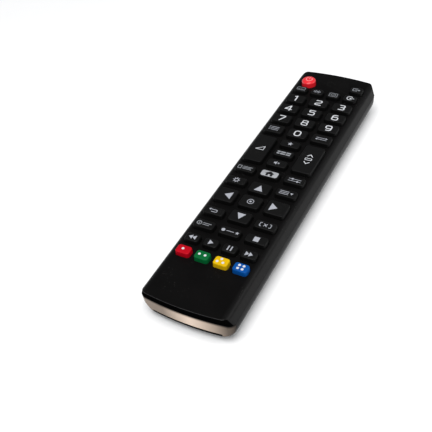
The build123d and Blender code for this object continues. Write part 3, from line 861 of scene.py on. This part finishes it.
def rows_of_bars(rows, half=0.16):
    """Level bars, each given by its left, its right and its middle height."""
    return [mark for left, right, row in rows for mark in bar(left, row - half, right, row + half)]


def list_marks():
    """Three lines with bullets."""
    marks = []
    for row in (-1.2, 0.0, 1.2):
        marks += disc(-2.5, row, 0.3, 14) + bar(-1.7, row - 0.16, 2.6, row + 0.16)
    return marks


def swap_marks():
    """Two arrows that swap."""
    upper = stroke([(-3.0, 0.62), (2.2, 0.62)], 0.3) + triangle(2.7, 0.62, 1.25, 1.1, -90)
    lower = stroke([(-2.2, -0.72), (3.0, -0.72)], 0.3) + triangle(-2.7, -0.72, 1.25, 1.1, 90)
    return upper + lower


def cross_marks():
    """A cross between two brackets."""
    marks = crossing(0.85, 0.36)
    for side in (-1, 1):
        x, far = 1.9 * side, 2.8 * side
        marks += stroke([(x, -1.15), (far, -1.15), (far, 1.15), (x, 1.15)], 0.32, 0.4)
    return marks


def note_marks():
    """A ring with a dot and a bar, and two lines beside it."""
    ring = stroke(arc(1.12, 0, 15, 24, -2.6), 0.34, 0.0, True)
    marks = ring + disc(-2.6, 0.5, 0.22, 12) + bar(-2.78, -0.62, -2.42, 0.14)
    return marks + bar(-0.7, 0.36, 3.6, 0.68) + bar(-0.7, -0.68, 2.7, -0.36)


def sound_marks():
    """Sound bars."""
    marks = []
    for i, reach in enumerate((0.55, 1.15, 0.75, 1.3, 0.6)):
        x = (i - 2) * 0.85
        marks += bar(x - 0.16, -reach, x + 0.16, reach)
    return marks


def input_marks():
    """An arrow into an open ring."""
    ring = stroke(arc(1.55, 35, 290 / 24, 25), 0.42)
    return ring + stroke([(2.5, 0.0), (0.7, 0.0)], 0.36) + triangle(0.15, 0.0, 1.3, 1.0, 90)


def source_marks():
    """An open box with an arrow out of it."""
    box = stroke([(0.6, 1.1), (-2.0, 1.1), (-2.0, -1.1), (0.6, -1.1)], 0.36, 0.4)
    return box + bar(-0.9, -0.2, 1.2, 0.2) + triangle(1.7, 0.0, 1.5, 1.1, -90)


def channel_marks():
    """Chevrons up and down about a box."""
    upper = stroke([(-1.5, 2.2), (0.0, 3.7), (1.5, 2.2)], 0.44)
    lower = stroke([(-1.5, -2.2), (0.0, -3.7), (1.5, -2.2)], 0.44)
    box = [(-1.7, -0.7), (1.7, -0.7), (1.7, 0.7), (-1.7, 0.7)]
    return upper + lower + stroke(box, 0.34, 0.35, True)


def prism_into(bm, outline, low, high):
    """A closed thin slab with the given outline."""
    area = sum(a[0] * b[1] - b[0] * a[1] for a, b in zip(outline, outline[1:] + outline[:1]))
    if area < 0:
        outline = outline[::-1]
    loft(bm, [[(x, y, z) for x, y in outline] for z in (low, high)])


def ring_into(bm, left, right, low, high):
    """A closed thin slab between two outlines that go round each other."""
    rings = [(left, low), (right, low), (right, high), (left, high)]
    rows = [[bm.verts.new((x, y, z)) for x, y in side] for side, z in rings]
    count = len(left)
    for first, second in zip(rows, rows[1:] + rows[:1]):
        for i in range(count):
            j = (i + 1) % count
            bm.faces.new((first[i], first[j], second[j], second[i]))


def make_plate():
    """The silver face of the home key, let into its top."""
    x, y = centre_of("home_key")
    bm = bmesh.new()
    rings = []
    for inset, rise in ((0.0, -PLATE_SINK), (0.0, 0.0), (PLATE_BEVEL, PLATE_RISE)):
        outline = rounded_outline(PLATE_WIDTH / 2 - inset, PLATE_LENGTH / 2 - inset, PLATE_CORNER)
        rings.append([(x + a, y + b, KEY_TOP + rise) for a, b in outline])
    loft(bm, rings)
    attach(mesh_object("home_key_plate", bm, SILVER, smooth_angle=30), "home_key")


def print_marks(node, marks, top, material):
    """Ink of the given marks, a hair above a key's flat top."""
    x, y = centre_of(node)
    bm = bmesh.new()
    for layer, (kind, shape) in enumerate(marks):
        surface = top + PRINT_RISE + layer * PRINT_LAYER
        if kind == "ring":
            left, right = ([(x + a, y + b) for a, b in side] for side in shape)
            ring_into(bm, left, right, top - PRINT_SINK, surface)
        else:
            prism_into(bm, [(x + a, y + b) for a, b in shape], top - PRINT_SINK, surface)
    bmesh.ops.recalc_face_normals(bm, faces=bm.faces)
    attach(mesh_object(node + "_print", bm, material), node)


# The keys from the far end down, after the form they have, and those that aren't black
KEY_ROWS = """round power
small source subtitle audio ratio input
digit digit_1 digit_2 digit_3 digit_4 digit_5 digit_6 digit_7 digit_8 digit_9 list digit_0 quick_view
rocker volume
text favourite guide mute
rocker channel
text text home text_option settings
vertical up
text quick_menu
arrow left
ok ok
arrow right
text back
vertical down
text exit info record stop
small rewind play pause forward red green yellow blue"""
KEYS = []
for row in KEY_ROWS.splitlines():
    key_form, *names = row.split()
    ending = "_rocker" if key_form == "rocker" else "_key"
    KEYS += [(name + ending, key_form) for name in names]
COLOURED = {"power_key": POWER, "red_key": RED, "green_key": GREEN, "yellow_key": YELLOW,
            "blue_key": BLUE}

MARKS = {
    "power_key": stroke(arc(1.75, 124, 292 / 24, 25, 0, 0.5), 0.32) + bar(-0.16, 0.55, 0.16, 2.55),
    "source_key": source_marks(),
    "subtitle_key": (frame_marks(4.6, 2.5, 0.24) + bar(-1.5, -0.6, -0.3, -0.3)
                     + bar(0.1, -0.6, 1.5, -0.3)),
    "audio_key": sound_marks(),
    "ratio_key": frame_marks(4.6, 3.0, 0.26) + frame_marks(2.5, 1.4, 0.24),
    "input_key": input_marks(),
    "list_key": list_marks(),
    "quick_view_key": swap_marks(),
    "volume_rocker": stroke([(-2.1, -1.3), (2.3, -1.3), (2.3, 1.7)], 0.32, 0.12, True),
    "favourite_key": star((1.5, 0.64)),
    "guide_key": rows_of_bars([(left, right, row) for row in (-0.72, 0.72) for left, right in
                               ((-3.7, -2.1), (-1.75, 0.9), (1.25, 3.7))], 0.45),
    "mute_key": (fill((-1.7, -0.5), (-1.05, -0.5), (-0.2, -1.25), (-0.2, 1.25), (-1.05, 0.5),
                      (-1.7, 0.5)) + crossing(0.5, 0.32, 0.8)),
    "channel_rocker": channel_marks(),
    "text_key": (stroke([(-3.9, -1.1), (-2.2, -1.1), (-2.2, 1.1), (-3.9, 1.1)], 0.34, 0.2, True)
                 + rows_of_bars([(-1.4, 3.8, 0.85), (-1.4, 3.2, 0.0), (-1.4, 3.6, -0.85)])),
    "home_key": house_marks(),
    "text_option_key": (bar(-3.3, 0.58, 3.3, 0.86) + bar(-3.3, -0.86, 3.3, -0.58)
                        + disc(-1.3, 0.72, 0.56, 20) + disc(1.6, -0.72, 0.56, 20)),
    "settings_key": gear_marks(),
    "up_key": triangle(-0.1, -0.2, 4.5, 4.1),
    "quick_menu_key": (rows_of_bars([(-3.6, 1.2, row) for row in (-1.0, 0.0, 1.0)])
                       + triangle(2.7, 0.0, 1.6, 1.3, 180)),
    "left_key": triangle(1.2, 0.0, 5.1, 3.8, 90),
    "ok_key": stroke(arc(1.55, 0, 12, 30), 0.34, 0.0, True) + disc(0.0, 0.0, 0.6),
    "right_key": triangle(-1.4, 0.0, 5.1, 3.7, -90),
    "back_key": (stroke([(-1.9, 0.55), (1.7, 0.55), (1.7, -0.95), (-1.1, -0.95)], 0.36, 0.7)
                 + triangle(-2.35, 0.55, 1.4, 1.0, 90)),
    "down_key": triangle(-0.1, 0.2, 4.4, 4.0, 180),
    "exit_key": cross_marks(),
    "info_key": note_marks(),
    "record_key": disc(-3.4, 0.0, 0.92) + bar(-1.8, -0.16, 2.0, 0.16) + star((1.05, 0.46), 3.7),
    "stop_key": bar(-1.35, -1.45, 1.35, 1.45),
    "rewind_key": triangle(-0.9, 0.0, 2.7, 1.85, 90) + triangle(0.95, 0.0, 2.7, 1.85, 90),
    "play_key": triangle(0.1, 0.0, 2.9, 2.3, -90),
    "pause_key": bar(-1.1, -1.4, -0.5, 1.4) + bar(0.5, -1.4, 1.1, 1.4),
    "forward_key": triangle(-0.95, 0.0, 2.7, 1.85, -90) + triangle(0.9, 0.0, 2.7, 1.85, -90),
}
INKS = {"power_key": PRINT_PINK, "home_key": PRINT_DARK}
for node in ("source_key", "subtitle_key", "ratio_key", "guide_key", "text_key", "info_key"):
    INKS[node] = PRINT_GREY
for node in ("input_key", "volume_rocker", "channel_rocker"):
    INKS[node] = PRINT_WHITE
for number, shapes in enumerate(digit_marks()):
    MARKS[f"digit_{number}_key"] = shapes
    INKS[f"digit_{number}_key"] = PRINT_WHITE

SPOTS = {
    "red_key": [(-0.4, 0.2)],
    "green_key": [(-1.5, 0.15), (1.4, 0.15)],
    "yellow_key": [(-0.3, 1.15), (-1.7, -0.75), (1.2, -0.75)],
    "blue_key": [(-1.1, 0.95), (1.1, 0.95), (-1.1, -0.95), (1.1, -0.95)],
}


# Dots on the keys and pads on the board, by geometry nodes


def spot_tree(name, material, radius, thickness):
    """Geometry nodes that put a thin round spot on every point; sizes in millimetres."""
    tree = bpy.data.node_groups.new(name, "GeometryNodeTree")
    tree.interface.new_socket("Points", in_out="INPUT", socket_type="NodeSocketGeometry")
    tree.interface.new_socket("Spots", in_out="OUTPUT", socket_type="NodeSocketGeometry")
    entry = tree.nodes.new("NodeGroupInput")
    spot = tree.nodes.new("GeometryNodeMeshCylinder")
    spot.inputs["Vertices"].default_value = 28
    spot.inputs["Radius"].default_value = radius * MM
    spot.inputs["Depth"].default_value = thickness * MM
    place = tree.nodes.new("GeometryNodeInstanceOnPoints")
    real = tree.nodes.new("GeometryNodeRealizeInstances")
    paint = tree.nodes.new("GeometryNodeSetMaterial")
    paint.inputs["Material"].default_value = material
    leave = tree.nodes.new("NodeGroupOutput")
    join = tree.links.new
    join(entry.outputs["Points"], place.inputs["Points"])
    join(spot.outputs["Mesh"], place.inputs["Instance"])
    join(place.outputs["Instances"], real.inputs["Geometry"])
    join(real.outputs["Geometry"], paint.inputs["Geometry"])
    join(paint.outputs["Geometry"], leave.inputs["Spots"])
    return tree


def make_spots(name, places, tree, body):
    """Round spots centred on the places, in millimetres, as one plain mesh."""
    points = bpy.data.meshes.new(name)
    points.from_pydata([[value * MM for value in place] for place in places], [], [])
    piece = link(bpy.data.objects.new(name, points))
    piece.modifiers.new("spots", "NODES").node_group = tree
    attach(applied(piece), body)


# The case and its door, the light and the cells


def case_ring(height):
    """The case's outline at a height; below the lip its near foot is tucked in."""
    low = max(height, 0.0)
    bilge = HULL_RADIUS - min(low, HULL_RADIUS)
    half_width = TOP_HALF_WIDTH + SIDE_SPREAD - HULL_RADIUS - SKIN_INSET
    half_width += math.sqrt(HULL_RADIUS**2 - bilge**2)
    foot = FOOT_RADIUS - min(low, FOOT_RADIUS)
    drawn_in = CASE_LEAN * max(PARTING - height, 0.0)
    drawn_in += FOOT_RADIUS - math.sqrt(FOOT_RADIUS**2 - foot**2)
    half_length = TOP_HALF_LENGTH - END_DRAW_IN - drawn_in - SKIN_INSET
    corner = CORNER_RADIUS + SKIN_CORNER_GROWTH
    corner += SKIN_CORNER_SPREAD * max(SKIN_CORNER_HEIGHT - height, 0.0)
    tuck = TUCK * max(TUCK_FROM - height, 0.0)
    return full_ring(bowed_quarter(half_width, half_length, corner),
                     bowed_quarter(half_width, half_length - tuck, corner), height)


def case_skin():
    """The clean outer form that the case and its door are trimmed to."""
    bm = bmesh.new()
    loft(bm, [case_ring(height) for height in SKIN_HEIGHTS])
    bmesh.ops.recalc_face_normals(bm, faces=bm.faces)
    return bm


def borrow_normals(mesh, skin):
    """Takes a clean skin's smooth normals where a mesh lies on it, and the inner finish elsewhere."""
    tree = BVHTree.FromBMesh(skin)
    skin.faces.ensure_lookup_table()
    normals = [Vector(item.vector) for item in mesh.corner_normals]
    for polygon in mesh.polygons:
        _, _, index, gap = tree.find_nearest(polygon.center)
        if gap > SKIN_CONTACT * MM or skin.faces[index].normal.dot(polygon.normal) < FACING:
            polygon.material_index = 1
            continue
        for loop in polygon.loop_indices:
            spot, _, index, _ = tree.find_nearest(mesh.vertices[mesh.loops[loop].vertex_index].co)
            corners = skin.faces[index].verts
            shares = poly_3d_calc([vert.co for vert in corners], spot)
            normals[loop] = sum((vert.normal * share for vert, share in zip(corners, shares)),
                                Vector()).normalized()
    mesh.normals_split_custom_set(normals)


def trimmed_copy(node, body, groove_low, groove_high):
    """A node's own shape trimmed to the clean skin, with a deeper gap between two heights."""
    bm = bmesh.new()
    bm.from_mesh(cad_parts[node].data)
    bmesh.ops.remove_doubles(bm, verts=bm.verts, dist=WELD)
    mesh = bpy.data.meshes.new(node + "_moulding")
    bm.to_mesh(mesh)
    bm.free()
    mesh.materials.clear()
    mesh.materials.append(CASE)
    mesh.polygons.foreach_set("material_index", [0] * len(mesh.polygons))
    piece = link(bpy.data.objects.new(node + "_moulding", mesh))
    trim(piece, mesh_object("skin", case_skin(), CASE), "INTERSECT")
    bm = bmesh.new()
    box_into(bm, (-GAP_HALF_WIDTH, -TOP_HALF_LENGTH, groove_low),
             (GAP_HALF_WIDTH, GAP_FLOOR, groove_high))
    trim(piece, mesh_object("groove", bm, CASE), "DIFFERENCE")
    piece.data.materials.append(CASE_INSIDE)
    shade_smooth(piece.data, angle=25)
    skin = case_skin()
    skin.transform(Matrix.Scale(MM, 4))
    skin.normal_update()
    borrow_normals(piece.data, skin)
    skin.free()
    stand_in(piece, node, body)


def make_light():
    """The infrared light: collar, barrel, dome and two bent leads."""
    low, high = (Vector(corner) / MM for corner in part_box("ir_led"))
    radius = (high.x - low.x) / 2 - LIGHT_COLLAR
    collar = radius + LIGHT_COLLAR
    axis = low.z + collar
    back = high.y - LIGHT_LENGTH
    profile = [(collar, back), (collar, back + COLLAR_EDGE), (radius, back + COLLAR_LENGTH)]
    dome_steps = 10
    for step in range(dome_steps + 1):
        angle = math.radians(DOME_SWEEP * step / dome_steps)
        profile.append((radius * math.cos(angle), high.y - LIGHT_DOME + LIGHT_DOME * math.sin(angle)))
    bm = bmesh.new()
    lathe(bm, profile)
    bmesh.ops.translate(bm, verts=bm.verts, vec=(0, 0, axis))
    bmesh.ops.recalc_face_normals(bm, faces=bm.faces)
    for side in (-1, 1):
        left, right = side * LEAD_OFFSET - LEAD_HALF, side * LEAD_OFFSET + LEAD_HALF
        box_into(bm, (left, low.y, axis - LEAD_HALF), (right, back + OVERLAP, axis + LEAD_HALF))
        box_into(bm, (left, low.y, axis - LEAD_HALF), (right, low.y + 2 * LEAD_HALF, high.z))
    stand_in(mesh_object("light_lens", bm, LENS, smooth_angle=35), "ir_led", "case")


def make_cell(node, outward):
    """A cell with its crimped rim, nub and plain banded sleeve."""
    low, high = (Vector(corner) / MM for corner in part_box(node))
    x, z = (low.x + high.x) / 2, (low.z + high.z) / 2
    length = high.y - low.y
    profile = CELL_FLAT_END + [(radius, length - away) for radius, away in CELL_NUB_END]
    bm = bmesh.new()
    lathe(bm, profile)
    if outward < 0:
        bmesh.ops.rotate(bm, verts=bm.verts, cent=(0, 0, 0), matrix=Matrix.Rotation(math.pi, 3, "X"))
    start = low.y if outward > 0 else high.y
    bmesh.ops.translate(bm, verts=bm.verts, vec=(x, start, z))
    bmesh.ops.recalc_face_normals(bm, faces=bm.faces)
    cell = mesh_object(node + "_can", bm, SLEEVE, smooth_angle=35)
    cell.data.materials.append(NICKEL)
    for face in cell.data.polygons:
        along = abs(face.center.y / MM - start)
        if along > length - SLEEVE_TO or along < SLEEVE_FROM:
            face.material_index = 1
    stand_in(cell, node, "case")


# Build


make_cover(KEYS)
trimmed_copy("lower_case", "case", GAP_SPLIT, GAP_TOP)
trimmed_copy("battery_door", "battery_door", GAP_LOW, GAP_SPLIT)
for key_node, key_form in KEYS:
    make_key(key_node, key_form, COLOURED.get(key_node, KEY))
    if key_node in MARKS:
        ink_height = top_of(key_form) + (PLATE_RISE if key_node == "home_key" else 0.0)
        print_marks(key_node, MARKS[key_node], ink_height, INKS.get(key_node, PRINT_SOFT))
make_plate()
dots = spot_tree("key_dots", PRINT_WHITE, DOT_RADIUS, DOT_THICKNESS)
for key_node, spots in SPOTS.items():
    key_x, key_y = centre_of(key_node)
    centres = [(key_x + x, key_y + y, KEY_TOP) for x, y in spots]
    make_spots(key_node + "_spots", centres, dots, key_node)
pads = []
for key_node, key_form in KEYS:
    key_x, key_y = centre_of(key_node)
    reach = ROCKER_PILL_OFFSET if key_form == "rocker" else 0.0
    for pad_y in sorted({key_y - reach, key_y + reach}):
        pads.append((key_x, pad_y, BOARD_TOP))
make_spots("board_pads", pads, spot_tree("carbon_pads", CARBON, CARBON_RADIUS, CARBON_THICKNESS), "case")
make_light()
make_cell("battery_left", 1)
make_cell("battery_right", -1)
# The nodes whose own solid is shown, with only a finish
BARE = {"circuit_board": BOARD, "keypad_mat": MAT, "controller_chip": CHIP, "resonator": RESONATOR,
        "capacitor": CAPACITOR, "bridge_contact": NICKEL, "negative_contact": NICKEL,
        "positive_contact": NICKEL}
for bare_node, bare_finish in BARE.items():
    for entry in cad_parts[bare_node].material_slots:
        entry.material = bare_finish


# Studio


def make_floor():
    """A wide pale floor under the remote."""
    bm = bmesh.new()
    half = FLOOR_HALF / MM
    corners = [bm.verts.new((x * half, y * half, 0.0)) for x, y in ((-1, -1), (1, -1), (1, 1), (-1, 1))]
    bm.faces.new(corners)
    paint = finish("floor_paper", (0.86, 0.86, 0.86), (0.84, 0.84, 0.84), 0.75, 0.7, grain=500.0,
                   depth=0.00001, patches=3.0)
    mesh_object("floor", bm, paint)


def soft_light(name, place, target, size, power):
    """A soft square studio light aimed at a point."""
    lamp = bpy.data.lights.new(name, "AREA")
    lamp.shape = "SQUARE"
    lamp.size = size
    lamp.energy = power
    light = link(bpy.data.objects.new(name, lamp))
    light.location = place
    light.rotation_euler = (Vector(target) - Vector(place)).to_track_quat("-Z", "Y").to_euler()


def make_camera():
    """The photograph's viewpoint."""
    camera = bpy.data.cameras.new("viewpoint")
    camera.sensor_width = CAMERA_SENSOR
    camera.lens = CAMERA_LENS
    camera.clip_start = 0.01
    camera.clip_end = 20.0
    view = link(bpy.data.objects.new("viewpoint", camera))
    view.location = CAMERA_PLACE
    view.rotation_euler = [math.radians(angle) for angle in CAMERA_TURN]
    bpy.context.scene.camera = view


make_floor()
for light_values in LIGHTS:
    soft_light(*light_values)
world = bpy.data.worlds.new("studio")
world.use_nodes = True
world.node_tree.nodes["Background"].inputs["Color"].default_value = SKY
world.node_tree.nodes["Background"].inputs["Strength"].default_value = SKY_STRENGTH
bpy.context.scene.world = world
bpy.context.scene.view_settings.view_transform = "Standard"
make_camera()
